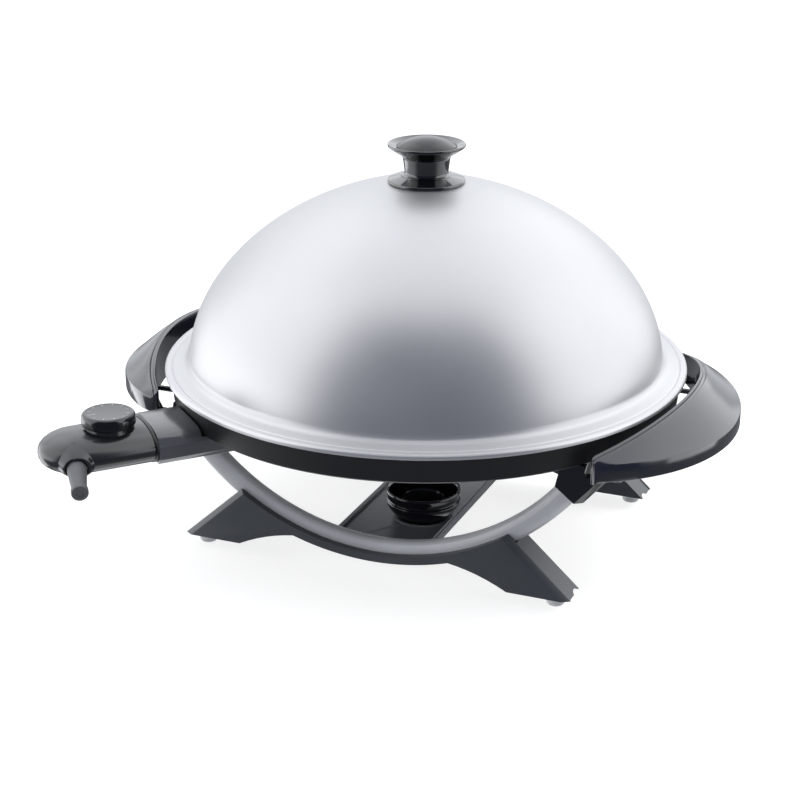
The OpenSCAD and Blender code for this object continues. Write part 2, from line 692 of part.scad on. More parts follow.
module ring_wall(r, t, h) {
    difference() {
        cylinder(r = r + t, h = h, $fn = 96);
        translate([0, 0, -1]) cylinder(r = r, h = h + 2, $fn = 96);
    }
}

module grill_ridges() {
    reach = floor_r - 8;
    count = floor((reach - 4) / ridge_pitch);
    difference() {
        for (i = [-count : count]) let (half = sqrt(reach * reach - pow(i * ridge_pitch, 2)) - 2)
            translate([-half, i * ridge_pitch - ridge_w / 2, floor_z - eps])
                cube([2 * half, ridge_w, ridge_h + eps]);
        translate([cup_x, cup_y, floor_z - 1]) cylinder(r = sump_r + 3, h = 10, $fn = 48);
    }
}

// Bent tube with its centre line on radius r, from angle a0 to a1
module tube_bend(r, a0, a1) {
    rotate([0, 0, a0]) rotate_extrude(angle = a1 - a0, $fn = 96)
        translate([r, 0]) circle(r = element_r, $fn = 24);
}

// Short sleeve along X that joins two stretches of the element
module element_sleeve() {
    translate([-2.5, 0, 0]) rod_x(element_r + sleeve_grow, 5);
}

module heating_element() {
    // each end leaves the ring in a bend and runs out straight to its pin
    reach = element_ring_r + element_bend;
    side = pin_half + element_bend;
    turn = asin(side / reach);
    bend_u = reach * cos(turn);
    leg_end = guard_u0 + 8;
    color("darkgray") on_unit() translate([0, 0, pin_z]) {
        tube_bend(element_ring_r, turn + 0.3, 360 - turn - 0.3);
        for (s = [0, 1]) mirror([0, s, 0]) {
            rotate([0, 0, turn]) translate([element_ring_r, 0, 0]) rotate([0, 0, 90]) element_sleeve();
            translate([bend_u, side, 0]) tube_bend(element_bend, 182 + turn, 268);
            translate([bend_u, pin_half, 0]) element_sleeve();
            translate([bend_u + 0.5, pin_half, 0]) rod_x(element_r, leg_end - bend_u - 0.5);
            translate([leg_end - eps, pin_half, 0]) rod_x(pin_r, 20);
        }
    }
}

module element_clips() {
    clip_h = 1.2;
    color("silver") on_unit() for (a = [60, 150, 210, 300]) rotate([0, 0, a])
        translate([element_ring_r - 10, -5, pin_z - element_r - clip_h - 0.1]) cube([20, 10, clip_h]);
}

// Section of the guard: a rounded hood on a wider base
module guard_outline(inset) {
    hw = unit_w / 2 - 1.5 - inset;
    top = unit_h / 2 - inset;
    ledge = 5.5;
    n = 14;
    hood = [for (i = [0 : n]) let (a = 180 * i / n)
        [hw * sign(cos(a)) * pow(abs(cos(a)), 0.75),
         ledge - inset * 0.4 + (top - ledge) * pow(sin(a), 0.8)]];
    base_w = unit_w / 2 + 0.4 - inset;
    sole = -unit_h / 2 + 2.4;
    polygon(concat(hood, [[-base_w, ledge - 2.6 - inset * 0.4], [-base_w, sole + 5],
        [-base_w + 5, sole + inset], [base_w - 5, sole + inset],
        [base_w, sole + 5], [base_w, ledge - 2.6 - inset * 0.4]]));
}

// Solid along the unit's axis from u0, cut from a profile across it
module along_u(u0, len) {
    translate([u0, 0, unit_z]) rotate([90, 0, 90]) linear_extrude(len) children();
}

module probe_guard() {
    color([0.17, 0.17, 0.18]) on_unit() difference() {
        along_u(tongue_u, guard_u1 - tongue_u) guard_outline(0);
        along_u(tongue_u - 1, guard_u1 - tongue_u + 2) guard_outline(unit_t);
        // the plate's wall and floor
        translate([0, 0, plate_z - seam]) cylinder(r = guard_u0, h = 60, $fn = 128);
        // open floor in front of the element's clamp
        translate([tongue_u - 1, -unit_w / 2 + unit_t, plate_z - 3.2]) cube([18, unit_w - 2 * unit_t, 40]);
    }
    // lugs inside it, which the screws go through
    lug_y0 = guard_lug_y - 3;
    color([0.17, 0.17, 0.18]) on_unit() for (s = [0, 1]) mirror([0, s, 0]) difference() {
        translate([tongue_u, lug_y0, plate_z - guard_lug_h])
            cube([9.5, unit_w / 2 - unit_t + 0.8 - lug_y0, guard_lug_h - seam]);
        translate([tongue_u + 4.5, guard_lug_y, plate_z - guard_lug_h - 1]) cylinder(r = 1.9, h = 14, $fn = 24);
    }
}

module guard_screws() {
    color("silver") on_unit() for (s = [-1, 1])
        translate([tongue_u + 4.5, s * guard_lug_y, plate_z - guard_lug_h - head_gap]) mirror([0, 0, 1])
            screw_down(2.8, 1.4, 1.5, 11.6);
}

// ---------------------------------------------------------------- lid

module lid_dome() {
    top = seat_z + lid_t;
    h0 = (seat_z + 6.5 - dome_z0) / dome_rise;
    outer = dome_points(dome_r, dome_rise, h0, 26);
    inner = dome_points(dome_r - lid_t, dome_rise - lid_t, h0, 26);
    rim = [[dome_r + 1.2, top + 3], [dome_r + 3.6, top + 1.5], [dome_r + 7.6, top + 0.5],
        [lid_r - 7, top], [lid_r - 6, top - 0.7], [lid_r - 5, top], [lid_r - 1.4, top - 0.4],
        [lid_r, top - 1.7], [lid_r, seat_z - lip_drop], [lid_r - lip_in, seat_z - lip_drop],
        [lid_r - lip_in, seat_z - 0.9], [lid_r - lip_in - 0.9, seat_z],
        [dome_r + 9, seat_z], [dome_r + 4, seat_z + 0.9], [dome_r + 1, seat_z + 2.4]];
    skin = concat([for (i = [26 : -1 : 0]) outer[i]], rim, inner);
    color("gainsboro") difference() {
        rotate_extrude($fn = 144) polygon(skin);
        translate([0, 0, dome_z0 + dome_rise - 20]) cylinder(r = lid_screw_r + 0.4, h = 30, $fn = 32);
    }
}

module lid_knob() {
    b = knob_base_r;
    t = knob_top_r;
    n = knob_neck_r;
    under = [for (r = [b, 24, 16, 8]) [r, dome_z(r) + seam - knob_z]];
    side = [[b, 2.2], [b - 0.6, 2.7], [n + 3.6, 5.2], [n + 2.6, 6.2], [n + 0.4, 6.8], [n, 8.2],
        [n + 1.5, knob_h - 10.8], [n + 2.9, knob_h - 9], [t - 0.8, knob_h - 2.7], [t, knob_h - 1.8],
        [t, knob_h - 0.6], [t - 0.5, knob_h], [t - 1.3, knob_h - 0.1]];
    // seat of the cap, the bore under it and the bore of the nut
    inside = [[cap_r + seam, knob_h - cap_set], [cap_r + seam, cap_z - seam], [knob_bore_r, cap_z - seam],
        [knob_bore_r, 20], [knob_nut_r + 0.1, 20], [knob_nut_r + 0.1, under[3][1] + 1], [8, under[3][1]]];
    color([0.07, 0.07, 0.08]) translate([0, 0, knob_z]) rotate_extrude($fn = 96)
        polygon(concat([for (i = [0 : 2]) under[2 - i]], side, inside));
}

module knob_cap() {
    plug_r = knob_bore_r - bore_gap;
    ball = (cap_r * cap_r + cap_rise * cap_rise) / (2 * cap_rise);
    crown = [for (i = [0 : 12]) let (x = cap_r * (12 - i) / 12)
        [x, cap_edge + cap_rise - ball + sqrt(ball * ball - x * x)]];
    color([0.12, 0.12, 0.13]) translate([0, 0, knob_z + cap_z]) rotate_extrude($fn = 96)
        polygon(concat([[0, -6], [plug_r, -6], [plug_r, 0], [cap_r, 0]], crown));
}

module knob_nut() {
    color("goldenrod") translate([0, 0, knob_z + 3.2]) difference() {
        cylinder(r = knob_nut_r, h = 14, $fn = 32);
        translate([0, 0, -1]) cylinder(r = lid_screw_r + 0.1, h = 16, $fn = 32);
    }
}

module lid_washer() {
    color("silver") translate([0, 0, dome_z0 + dome_rise - lid_t - 2.2]) difference() {
        cylinder(r = 9, h = 1.4, $fn = 48);
        translate([0, 0, -1]) cylinder(r = lid_screw_r + 0.3, h = 4, $fn = 32);
    }
}

module lid_screw() {
    z = dome_z0 + dome_rise - lid_t - 2.3;
    color("silver") {
        translate([0, 0, z - 3]) cylinder(r = 5, h = 3, $fn = 40);
        translate([0, 0, z - eps]) cylinder(r = lid_screw_r, h = knob_z + 16 - z, $fn = 32);
    }
}

// ---------------------------------------------------------------- heat control

// Solid of the housing: a straight stretch and a round end of the same section
module unit_solid(inset) {
    w = unit_w / 2 - inset;
    h = unit_h / 2 - inset;
    u0 = body_u0 + inset;
    translate([u0, 0, unit_z]) rotate([90, 0, 90]) linear_extrude(body_u1 - u0)
        polygon(squarish(w, h, unit_square, 40));
    translate([body_u1, 0, unit_z]) rotate([0, 0, -90]) rotate_extrude(angle = 180, $fn = 80)
        polygon(half_squarish(w, h, unit_square, 20));
}

module relief_axis() {
    translate([relief_u, relief_y, relief_z]) rotate([0, 0, relief_turn]) rotate([0, 90 + relief_dip, 0])
        children();
}

// Housing with the round socket that the strain relief comes out of
module unit_body() {
    unit_solid(0);
    relief_axis() translate([0, 0, -6]) cylinder(r = relief_r + 1, h = 8.4, $fn = 48);
}

module unit_holes() {
    relief_axis() {
        translate([0, 0, -20]) cylinder(r = relief_neck_r + 0.3, h = 40, $fn = 48);
        translate([0, 0, 2.4]) cylinder(r = relief_r + 0.3, h = 20, $fn = 48);
    }
    // mouth for the contact block
    along_u(body_u0 - 1, 10) block_outline(0.3);
}

// Section of the contact block
module block_outline(grow) {
    polygon(squarish(nose_w / 2 + grow, nose_h / 2 + grow, 3, 32));
}

module half_space(above) {
    z = unit_z + split_z + (above ? seam / 2 : -2 * unit_h - seam / 2);
    translate([body_u0 - 1, -unit_w, z]) cube([unit_straight + 2 * unit_w, 2 * unit_w, 2 * unit_h]);
}

module at_shell_screws(z) {
    for (s = [-1, 1]) translate([shell_screw_u, s * shell_screw_y, unit_z + z]) children();
}

module control_upper_shell() {
    color([0.2, 0.2, 0.21]) on_unit() difference() {
        union() {
            difference() {
                intersection() {
                    unit_body();
                    half_space(true);
                }
                unit_solid(unit_t);
            }
            translate([dial_u, 0, unit_z + unit_h / 2 - 4.5]) cylinder(r = dial_r - 2.5, h = 5.9, $fn = 64);
            at_shell_screws(split_z + 0.15) cylinder(r = 3.6, h = unit_h / 2 - unit_t - split_z - 0.8, $fn = 32);
        }
        unit_holes();
        at_shell_screws(split_z - 1) cylinder(r = 1.6, h = 12, $fn = 24);
        translate([dial_u, 0, unit_z]) cylinder(r = 3.4, h = 40, $fn = 32);
    }
}

module control_lower_shell() {
    color([0.16, 0.16, 0.17]) on_unit() difference() {
        union() {
            difference() {
                intersection() {
                    unit_body();
                    half_space(false);
                }
                unit_solid(unit_t);
            }
            at_shell_screws(shell_screw_z - 1) cylinder(r = 3.6, h = split_z - shell_screw_z + 0.6, $fn = 32);
        }
        unit_holes();
        at_shell_screws(-unit_h) cylinder(r = 1.6, h = 2 * unit_h, $fn = 24);
        at_shell_screws(shell_screw_z - 10) cylinder(r = 3.1, h = 10, $fn = 32);
    }
}

module control_screws() {
    color("silver") on_unit() at_shell_screws(shell_screw_z - 0.1) mirror([0, 0, 1])
        screw_down(2.7, 1.1, 1.4, 13);
}

module control_collar() {
    color("black") on_unit() difference() {
        along_u(guard_u1 + seam, collar_t) polygon(squarish(unit_w / 2 + 0.6, unit_h / 2 + 0.6, unit_square, 40));
        along_u(guard_u1, collar_t + 2) block_outline(0.3);
    }
}

module contact_block() {
    color([0.25, 0.16, 0.1]) on_unit() difference() {
        along_u(guard_u1 - nose_len, nose_len + collar_t + 12) block_outline(0);
        for (s = [-1, 1]) translate([guard_u1 - nose_len - 1, s * pin_half, pin_z]) rod_x(pin_r + 1.9, 32);
        translate([guard_u1 - nose_len - 1, 0, unit_z]) rod_x(probe_r + 0.3, 60);
    }
}

module contact_tubes() {
    color("goldenrod") on_unit() for (s = [-1, 1]) difference() {
        translate([guard_u1 - nose_len + 1, s * pin_half, pin_z]) rod_x(pin_r + 1.6, 28);
        translate([guard_u1 - nose_len, s * pin_half, pin_z]) rod_x(pin_r + bore_gap, 26);
    }
}

module probe_rod() {
    color("silver") on_unit() translate([body_u0 - probe_len, 0, unit_z]) {
        sphere(r = probe_r, $fn = 32);
        rod_x(probe_r, probe_len + 18);
    }
}

// Switch under the dial: a base, two posts and the bridge that the spindle presses
module thermostat() {
    u = dial_u + 2;
    base_t = 1.6;
    post_h = 5;
    half = shell_screw_y - 4;
    color("tan") on_unit() translate([u, 0, chassis_z]) {
        translate([-14, -half, 0]) cube([28, 2 * half, base_t]);
        translate([-14, -half, base_t - eps]) cube([4, 2 * half, post_h]);
        translate([8, -4, base_t - eps]) cube([4, 8, post_h + 2 * eps]);
        translate([-14, -4, base_t + post_h - eps]) cube([26, 8, 0.8]);
    }
}

module dial_spindle() {
    z0 = chassis_z + 7.4 + seam;
    color("silver") on_unit() translate([dial_u, 0, z0]) {
        cylinder(r = 3, h = dial_z + dial_h - 4 - z0, $fn = 32);
        cylinder(r = 5.5, h = 2, $fn = 40);
    }
}

module control_dial() {
    r = dial_r;
    color([0.1, 0.1, 0.11]) on_unit() translate([dial_u, 0, dial_z]) rotate_extrude($fn = 96)
        polygon([[3.2, 0], [r - 0.8, 0], [r, 0.8], [r - 0.3, dial_h - 2], [r - 1.1, dial_h - 0.7],
            [r - 2.4, dial_h], [0, dial_h], [0, dial_h - 3.6], [3.2, dial_h - 3.6]]);
}

module strain_relief() {
    color("gray") on_unit() relief_axis() rotate_extrude($fn = 48) polygon([
        [0, -13], [relief_neck_r + 1.6, -13], [relief_neck_r + 1.6, -11], [relief_neck_r, -11],
        [relief_neck_r, 2.7], [relief_r, 2.7], [relief_r, 5],
        [relief_r - 1.9, relief_len - 6], [relief_r - 1, relief_len - 5.4],
        [relief_r - 1, relief_len - 0.8], [relief_r - 1.6, relief_len], [0, relief_len]]);
}

module cord_clamp() {
    color("tan") on_unit() translate([relief_u - 17, -5, chassis_z]) {
        cube([16, 4, 7]);
        translate([0, 9, 0]) cube([16, 4, 5]);
    }
}

in_frame() arc_tube();  // front_arc_tube
in_frame() mirror([0, 1, 0]) arc_tube();  // rear_arc_tube
in_frame() leg_frame();  // front_leg_frame
in_frame() mirror([0, 1, 0]) leg_frame();  // rear_leg_frame
in_frame() leg_cover();  // front_leg_cover
in_frame() mirror([0, 1, 0]) leg_cover();  // rear_leg_cover
in_frame() leg_cover_screws();
in_frame() cup_tray();
in_frame() tray_screws();
in_frame() translate([-foot_x, -arc_y, 0]) rubber_foot();  // front_left_foot
in_frame() translate([foot_x, -arc_y, 0]) rubber_foot();  // front_right_foot
in_frame() translate([-foot_x, arc_y, 0]) rubber_foot();  // rear_left_foot
in_frame() translate([foot_x, arc_y, 0]) rubber_foot();  // rear_right_foot
in_frame() mirror([1, 0, 0]) bracket();  // front_left_bracket
in_frame() bracket();  // front_right_bracket
in_frame() mirror([1, 0, 0]) mirror([0, 1, 0]) bracket();  // rear_left_bracket
in_frame() mirror([0, 1, 0]) bracket();  // rear_right_bracket
in_frame() bracket_screws();
in_frame() mirror([1, 0, 0]) handle();  // left_handle
in_frame() handle();  // right_handle
in_frame() handle_screws();
in_frame() drip_cup();
in_frame() grill_plate();
in_frame() heating_element();
in_frame() element_clips();
in_frame() probe_guard();
in_frame() guard_screws();
in_frame() lid_dome();
in_frame() lid_knob();
in_frame() knob_cap();
in_frame() knob_nut();
in_frame() lid_washer();
in_frame() lid_screw();
in_frame() control_upper_shell();
in_frame() control_lower_shell();
in_frame() control_collar();
in_frame() contact_block();
in_frame() contact_tubes();
in_frame() probe_rod();
in_frame() thermostat();
in_frame() dial_spindle();
in_frame() control_dial();
in_frame() strain_relief();
in_frame() cord_clamp();
in_frame() control_screws();
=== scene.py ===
import json
import math

import bmesh
import bpy
from mathutils import Matrix, Vector
from mathutils.bvhtree import BVHTree


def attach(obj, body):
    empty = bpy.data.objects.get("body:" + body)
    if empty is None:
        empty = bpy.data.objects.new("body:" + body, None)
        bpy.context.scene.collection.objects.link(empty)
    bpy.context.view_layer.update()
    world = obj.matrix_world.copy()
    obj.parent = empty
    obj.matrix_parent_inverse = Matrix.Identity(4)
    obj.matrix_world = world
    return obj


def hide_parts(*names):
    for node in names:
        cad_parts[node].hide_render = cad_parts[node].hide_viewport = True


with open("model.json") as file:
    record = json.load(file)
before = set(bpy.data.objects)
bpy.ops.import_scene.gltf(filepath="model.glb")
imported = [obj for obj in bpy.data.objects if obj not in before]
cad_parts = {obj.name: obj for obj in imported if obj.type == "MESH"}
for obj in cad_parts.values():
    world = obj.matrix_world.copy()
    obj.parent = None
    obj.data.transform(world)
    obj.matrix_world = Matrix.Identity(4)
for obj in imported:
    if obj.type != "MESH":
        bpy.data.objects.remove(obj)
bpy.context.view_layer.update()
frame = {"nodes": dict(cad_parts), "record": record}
nodes = frame["nodes"]
scene = bpy.context.scene
mm = 0.001
plateMiddle = Vector((0, 0.03238, 0))  # on the floor, under the middle of the plate, lid and knob
plateAxis = Matrix.Translation(plateMiddle)
print("frame loaded:", len(nodes), "nodes")

view = {
    "target": (-0.0192, 0.0245, 0.1069),
    "azimuth": 22.43,  # degrees to the right of the front
    "elevation": 21.03,
    "distance": 1.5284,
    "lens": 84.05,
}


def backward(azimuth, elevation):  # unit vector from the grill towards a viewer
    a, e = math.radians(azimuth), math.radians(elevation)
    return Vector((math.sin(a) * math.cos(e), -math.cos(a) * math.cos(e), math.sin(e)))


def aim(obj, target):
    away = obj.location - Vector(target)
    obj.rotation_euler = away.to_track_quat("Z", "Y").to_euler()


def makeCamera():
    cameraData = bpy.data.cameras.new("camera")
    cameraData.lens = view["lens"]
    cameraData.sensor_width = 36
    camera = bpy.data.objects.new("camera", cameraData)
    camera.location = Vector(view["target"]) + backward(view["azimuth"], view["elevation"]) * view["distance"]
    aim(camera, view["target"])
    scene.collection.objects.link(camera)
    scene.camera = camera
    scene.view_settings.view_transform = "Standard"


makeCamera()
print("camera made")


# shader sums written as Python

class Wire:
    def __init__(self, tree, socket):
        self.tree = tree
        self.socket = socket

    def math(self, operation, *others, flip=False):
        node = self.tree.nodes.new("ShaderNodeMath")
        node.operation = operation
        terms = [self, *others]
        if flip:
            terms.reverse()
        for port, term in zip(node.inputs, terms):
            join(self.tree, port, term)
        return Wire(self.tree, node.outputs[0])

    def __add__(self, other):
        return self.math("ADD", other)

    def __radd__(self, other):
        return self.math("ADD", other)

    def __sub__(self, other):
        return self.math("SUBTRACT", other)

    def __rsub__(self, other):
        return self.math("SUBTRACT", other, flip=True)

    def __mul__(self, other):
        return self.math("MULTIPLY", other)


def join(tree, port, term):  # links a wire to a port, or sets the port to a fixed value
    if isinstance(term, Wire):
        tree.links.new(term.socket, port)
    elif isinstance(term, (tuple, list)) and port.type == "RGBA" and len(term) == 3:
        port.default_value = (*term, 1)
    else:
        port.default_value = term


class Sheet:  # one node tree, with a method that adds any node to it
    def __init__(self, tree):
        self.tree = tree
        self.tree.nodes.clear()

    def add(self, kind, settings=None, ports=None, out=0):
        node = self.tree.nodes.new(kind)
        for key, value in (settings or {}).items():
            setattr(node, key, value)
        for name, term in (ports or {}).items():
            join(self.tree, node.inputs[name], term)
        return Wire(self.tree, node.outputs[out]) if node.outputs else None

    def place(self):
        return self.add("ShaderNodeTexCoord", out="Object")

    def noise(self, where, scale, detail=3, roughness=0.55):
        return self.add("ShaderNodeTexNoise", {}, {"Vector": where, "Scale": scale, "Detail": detail,
                                                   "Roughness": roughness})

    def step(self, value, low, high, to=(0, 1)):  # soft step from low to high
        return self.add("ShaderNodeMapRange", {"interpolation_type": "SMOOTHSTEP"},
                        {"Value": value, "From Min": low, "From Max": high, "To Min": to[0], "To Max": to[1]})

    def blend(self, share, a, b):
        return self.add("ShaderNodeMix", {"data_type": "RGBA"}, {0: share, 6: a, 7: b}, out=2)

    def vector(self, operation, a, b, out=0):
        return self.add("ShaderNodeVectorMath", {"operation": operation}, {0: a, 1: b}, out)

    def bump(self, height, strength, distance):
        return self.add("ShaderNodeBump", {}, {"Height": height, "Strength": strength, "Distance": distance})


studio = {
    "walls": (2.02, 2.05, 2.10),
    "floorTone": 0.34,
    "floorGlow": 0.78,
    "flat": 5.0,  # metres from the middle to the backdrop's bend
    "bend": 1.5,
    "wall": 3.5,
    "lampCentre": (0, 0.03, 0.1),
}
panels = {  # azimuth from the camera, half width, elevation, half height, softness in degrees, colour
    "ceiling": (0, 180, 90, 18, 24, (1.52, 1.55, 1.60)),
    "backWall": (180, 8, 30, 60, 16, (1.54, 1.58, 1.64)),
    "leftBack": (-150, 12, 12, 12, 10, (1.42, 1.45, 1.50)),
    "rightBack": (138, 12, 22, 10, 5, (2.00, 2.03, 2.09)),
    "backLow": (180, 34, -2, 8, 8, (0.95, 0.98, 1.02)),
    "below": (0, 180, -90, 66, 18, (1.30, 1.32, 1.35)),
    "tableEdge": (0, 180, -30, 14, 14, (0.20, 0.205, 0.22)),
    "leftLow": (-124, 15, -20, 18, 6, (2.40, 2.44, 2.50)),
    "leftSide": (-90, 20, -5, 9, 5, (2.60, 2.64, 2.70)),
    "rightSide": (90, 18, -5, 9, 5, (2.20, 2.24, 2.30)),
    "front": (-1.5, 45.5, 20, 38, 17, (0.080, 0.095, 0.150)),
}
boxes = {  # azimuth from the camera, elevation, distance, width and power of each softbox
    "overheadBox": (170, 72, 2.2, 2.0, 8),
    "frontFill": (-20, 14, 2.2, 1.2, 14),
    "rightFill": (105, 34, 2.0, 1.0, 17),
}


def makeRoom():  # pale walls with soft-edged panels laid over them one after another
    world = bpy.data.worlds.new("studio")
    world.use_nodes = True
    scene.world = world
    room = Sheet(world.node_tree)
    ray = room.add("ShaderNodeTexCoord", out="Generated")
    flatRay = room.vector("MULTIPLY", ray, (1, 1, 0))
    level = room.add("ShaderNodeVectorMath", {"operation": "NORMALIZE"}, {0: flatRay})
    rise = room.add("ShaderNodeSeparateXYZ", {}, {0: ray}, out="Z").math("ARCSINE")
    glow = studio["walls"]
    for azimuth, wide, elevation, high, soft, colour in panels.values():
        offLevel = (rise - math.radians(elevation)).math("ABSOLUTE")
        share = 1.0 - room.step(offLevel, math.radians(high), math.radians(high + soft))
        if wide < 180:
            middle = tuple(backward(view["azimuth"] + azimuth, 0))
            across = room.vector("DOT_PRODUCT", level, middle, "Value")
            inside, outside = math.cos(math.radians(wide)), math.cos(math.radians(wide + soft))
            share = share * room.step(across, outside, inside)
        glow = room.blend(share, glow, colour)
    background = room.add("ShaderNodeBackground", {}, {"Color": glow, "Strength": 1.0})
    room.add("ShaderNodeOutputWorld", {}, {"Surface": background})


def makeFloor():  # a round floor that bends up into a wall; only the camera sees it
    profile = [(0, 0)]
    for degrees in range(0, 91, 10):
        angle = math.radians(degrees)
        radius = studio["flat"] + studio["bend"] * math.sin(angle)
        profile.append((radius, studio["bend"] * (1 - math.cos(angle))))
    profile.append((profile[-1][0], studio["bend"] + studio["wall"]))
    shape = bmesh.new()
    corners = [shape.verts.new((radius, 0, height)) for radius, height in profile]
    line = [shape.edges.new(pair) for pair in zip(corners, corners[1:])]
    bmesh.ops.spin(shape, geom=corners + line, cent=(0, 0, 0), axis=(0, 0, 1), angle=math.tau, steps=72,
                   use_merge=True)
    bmesh.ops.remove_doubles(shape, verts=shape.verts, dist=1e-5)
    bmesh.ops.recalc_face_normals(shape, faces=shape.faces)
    floorMesh = bpy.data.meshes.new("floor")
    shape.to_mesh(floorMesh)
    shape.free()
    floorMesh.shade_smooth()
    floor = bpy.data.objects.new("floor", floorMesh)
    floor.visible_glossy = False
    floor.visible_diffuse = False
    floor.visible_shadow = False
    scene.collection.objects.link(floor)
    floorFinish = bpy.data.materials.new("paleFloor")
    floorFinish.use_nodes = True
    paint = Sheet(floorFinish.node_tree)
    floorShader = paint.add("ShaderNodeBsdfPrincipled", {}, {
        "Base Color": (studio["floorTone"],) * 3, "Roughness": 0.9, "Specular IOR Level": 0.0,
        "Emission Color": (1, 1, 1), "Emission Strength": studio["floorGlow"]})
    paint.add("ShaderNodeOutputMaterial", {}, {"Surface": floorShader})
    floorMesh.materials.append(floorFinish)


def makeLamps():
    for name, (azimuth, elevation, distance, width, power) in boxes.items():
        data = bpy.data.lights.new(name, "AREA")
        data.shape = "SQUARE"
        data.size = width
        data.energy = power
        lamp = bpy.data.objects.new(name, data)
        away = backward(view["azimuth"] + azimuth, elevation) * distance
        lamp.location = Vector(studio["lampCentre"]) + away
        aim(lamp, studio["lampCentre"])
        lamp.visible_glossy = False
        scene.collection.objects.link(lamp)


makeRoom()
makeFloor()
makeLamps()
print("studio made")


# finishes: each recipe gives the shader's ports

finishes = {}


def finish(name, recipe):
    made = bpy.data.materials.new(name)
    made.use_nodes = True
    sheet = Sheet(made.node_tree)
    shader = sheet.add("ShaderNodeBsdfPrincipled", {}, recipe(sheet))
    sheet.add("ShaderNodeOutputMaterial", {}, {"Surface": shader})
    finishes[name] = made


lidLook = {
    # the rim colour is a lighter copy of the lid colour: painted sheen that makes the flange look
    # brighter-lit
    "colour": (0.485, 0.488, 0.50), "rimColour": (0.52, 0.523, 0.535), "metal": 0.78, "roughness": 0.40,
    "rings": 1500, "grain": 2600, "clouds": 14,  # noise scales per metre
    "ringWear": 0.03, "cloudWear": 0.05,  # how far the turning marks and the clouds change the roughness
    "cloudFrom": 0.35, "cloudTo": 0.7, "shade": (0.97, 1.0),  # darkest and lightest tone of the clouds
    "relief": 0.06, "reliefDepth": 0.0001, "ringRelief": 0.4,
    "spread": 0.85,  # anisotropy of the turned rim
}


def lidSteel(sheet):
    where = sheet.vector("SUBTRACT", sheet.place(), tuple(plateMiddle))
    outward = sheet.add("ShaderNodeVectorMath", {"operation": "LENGTH"}, {0: where}, out="Value")
    rings = sheet.add("ShaderNodeTexNoise", {"noise_dimensions": "1D"},
                      {"W": outward, "Scale": lidLook["rings"], "Detail": 2})
    cloud = sheet.noise(where, lidLook["clouds"], 4)
    speck = sheet.noise(where, lidLook["grain"], 2)
    wear = (rings - 0.5) * lidLook["ringWear"]
    shade = sheet.step(cloud, lidLook["cloudFrom"], lidLook["cloudTo"], lidLook["shade"])
    tone = sheet.add("ShaderNodeVectorMath", {"operation": "SCALE"}, {0: lidLook["colour"], "Scale": shade})
    raised = sheet.bump(speck + rings * lidLook["ringRelief"], lidLook["relief"], lidLook["reliefDepth"])
    return {"Base Color": tone, "Metallic": lidLook["metal"],
            "Roughness": lidLook["roughness"] + wear + (cloud - 0.5) * lidLook["cloudWear"], "Normal": raised}


def rimSteel(sheet):  # turned round the axis, so its gloss spreads across the turning marks; its lighter base colour is painted sheen for the brighter flange
    ports = lidSteel(sheet)
    ports.update({"Base Color": lidLook["rimColour"], "Anisotropic": lidLook["spread"],
                  "Anisotropic Rotation": 0.25})
    return ports


plasticLook = {
    "clouds": 35, "specks": 520,  # noise scales per metre
    "speckFrom": 0.62, "speckTo": 0.75, "speckTint": 0.02, "speckWear": 0.6, "cloudWear": 0.06,
    "coatRoughness": 0.05, "coatIndex": 1.8,
    "grainDepth": 0.0002,
}


def gloss(colour, roughness, grainScale=900, grainStrength=0.03, coat=0.0, dust=0.05):
    def recipe(sheet):
        where = sheet.place()
        cloud = sheet.noise(where, plasticLook["clouds"], 4)
        fine = sheet.noise(where, plasticLook["specks"], 3)
        specks = sheet.step(fine, plasticLook["speckFrom"], plasticLook["speckTo"])
        pale = tuple(min(1, c + plasticLook["speckTint"]) for c in colour)
        wear = (cloud - 0.5) * plasticLook["cloudWear"]
        grain = sheet.noise(where, grainScale, 2)
        return {"Base Color": sheet.blend(specks * dust, colour, pale),
                "Roughness": roughness + wear + specks * dust * plasticLook["speckWear"],
                "Coat Weight": coat, "Coat Roughness": plasticLook["coatRoughness"],
                "Coat IOR": plasticLook["coatIndex"],
                "Normal": sheet.bump(grain, grainStrength, plasticLook["grainDepth"])}
    return recipe


satinLook = {"clouds": 18, "cloudFrom": 0.3, "cloudTo": 0.7, "cloudWear": 0.08, "grainDepth": 0.0002}


def satin(colour, roughness, grainScale=1600, grainStrength=0.12, metallic=0.0, spread=0.08):
    def recipe(sheet):
        where = sheet.place()
        cloud = sheet.noise(where, satinLook["clouds"], 4)
        light = tuple(min(1, c * (1 + spread)) for c in colour)
        dark = tuple(c * (1 - spread) for c in colour)
        share = sheet.step(cloud, satinLook["cloudFrom"], satinLook["cloudTo"])
        grain = sheet.noise(where, grainScale, 2)
        return {"Base Color": sheet.blend(share, dark, light), "Metallic": metallic,
                "Roughness": roughness + (cloud - 0.5) * satinLook["cloudWear"],
                "Normal": sheet.bump(grain, grainStrength, satinLook["grainDepth"])}
    return recipe


finish("lid_steel", lidSteel)
finish("lidRim", rimSteel)
finish("knob_plastic", gloss((0.003, 0.003, 0.004), 0.10, 900, 0.02))
finish("knobGloss", gloss((0.003, 0.003, 0.004), 0.10, 900, 0.02, 0.6))
finish("handle_plastic", gloss((0.011, 0.013, 0.020), 0.15, 700, 0.03, 0.42))
finish("bracket_plastic", gloss((0.004, 0.004, 0.005), 0.16, 900, 0.03, 0.4))
finish("collar_plastic", satin((0.003, 0.003, 0.004), 0.30))
finish("control_plastic", gloss((0.012, 0.012, 0.014), 0.22, 1500, 0.05, 0.2))
